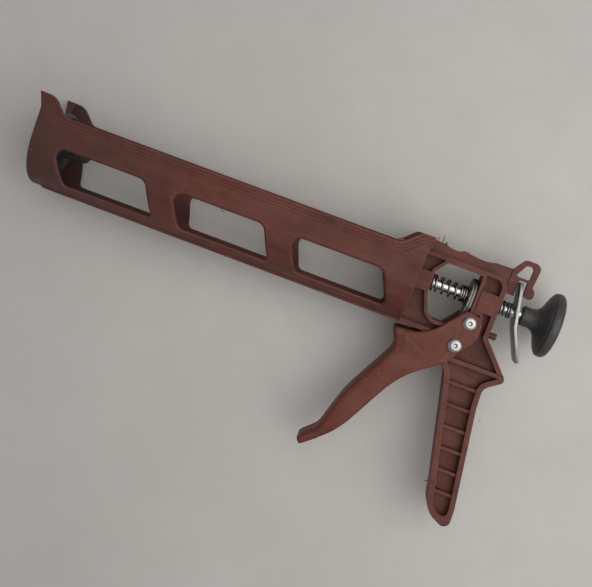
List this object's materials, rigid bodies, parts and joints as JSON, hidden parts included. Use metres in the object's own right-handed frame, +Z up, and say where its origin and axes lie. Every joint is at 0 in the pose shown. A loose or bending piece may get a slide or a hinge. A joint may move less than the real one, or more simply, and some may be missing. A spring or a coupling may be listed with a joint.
{
  "type": "caulking gun",
  "caption": "Skeleton caulking gun with moulded cradle and pistol grip, friction-drive trigger, bent release plate and push rod with piston and knob.",
  "frame": {"origin": "on the push rod axis, at the inner face of the cradle's front wall", "axes": "+X along the push rod towards the knob, +Y to the open top of the cradle, +Z up, out of the gun's left side: the gun lies on its right side"},
  "size_m": [0.3228, 0.1636, 0.055],
  "materials": {
    "body_plastic": "satin",
    "trigger_plastic": "satin",
    "black_plastic": "satin",
    "rod_steel": "polished",
    "plate_steel": "zinc plated",
    "spring_steel": "drawn wire",
    "rivet_steel": "polished"
  },
  "bodies": {
    "body": {"cradle_front": "body_plastic", "cradle_middle": "body_plastic", "cradle_rear": "body_plastic", "frame": "body_plastic", "tail": "body_plastic", "grip": "body_plastic", "pivot_rivet": "rivet_steel", "drive_spring": "spring_steel", "release_spring": "spring_steel"},
    "trigger": {"trigger": "trigger_plastic", "drive_rivet": "rivet_steel"},
    "drive": {"drive_plate_front": "plate_steel", "drive_plate_rear": "plate_steel"},
    "release": {"release_plate": "plate_steel"},
    "rod": {"push_rod": "rod_steel", "piston": "black_plastic", "knob": "black_plastic"}
  },
  "joints": [
    {"name": "trigger_pull", "type": "hinge", "parent": "body", "child": "trigger", "pos_m": [0.2659, -0.0294, 0], "axis": [0, 0, 1], "range_deg": [0, 28], "stiffness_Nm_per_rad": 1.2, "springref_deg": -14.32},
    {"name": "drive_slide", "type": "slide", "parent": "body", "child": "drive", "axis": [1, 0, 0], "range_m": [-0.0076, 0], "deforming": ["drive_spring"]},
    {"name": "release_press", "type": "hinge", "parent": "body", "child": "release", "pos_m": [0.2895, 0.0176, 0], "axis": [0, 0, -1], "range_deg": [0, 8], "stiffness_Nm_per_rad": 0.6, "springref_deg": -5.73, "deforming": ["release_spring"]},
    {"name": "rod_slide", "type": "slide", "parent": "body", "child": "rod", "axis": [1, 0, 0], "range_m": [0, 0.2]}
  ],
  "couplings": [
    {"joint": "drive_slide", "follows": "trigger_pull", "m_per_rad": -0.0151}
  ]
}
